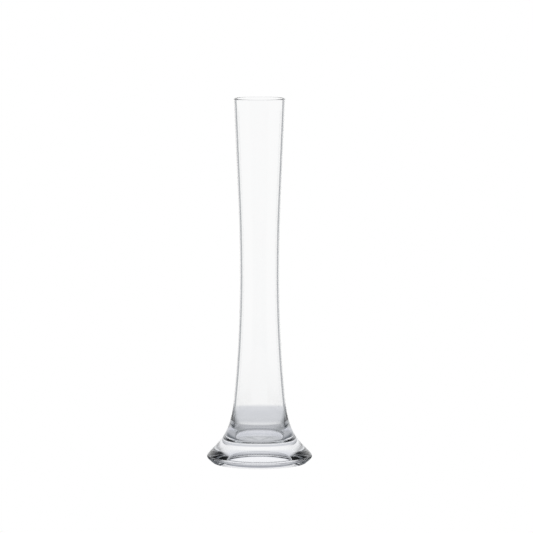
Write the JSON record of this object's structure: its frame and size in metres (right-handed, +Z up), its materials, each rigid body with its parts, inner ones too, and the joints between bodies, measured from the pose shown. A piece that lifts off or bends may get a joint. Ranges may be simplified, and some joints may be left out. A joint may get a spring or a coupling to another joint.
{
  "type": "glass bud vase",
  "caption": "Tall slender bud vase in clear glass: a waisted tube, open at the rim and closed at the bottom, flaring into a heavy solid round foot; holds one or two stems in water.",
  "frame": {"origin": "middle of the round foot, on the surface that the vase stands on", "axes": "+Z up along the axis of the vase, from the standing ring to the rim; +X and +Y are any two directions across it, since the vase is the same all round"},
  "size_m": [0.066, 0.066, 0.23],
  "materials": {
    "blown_body": "gloss",
    "solid_foot": "gloss"
  },
  "bodies": {
    "root": {"blown_body": "blown_body", "solid_foot": "solid_foot"}
  },
  "joints": []
}
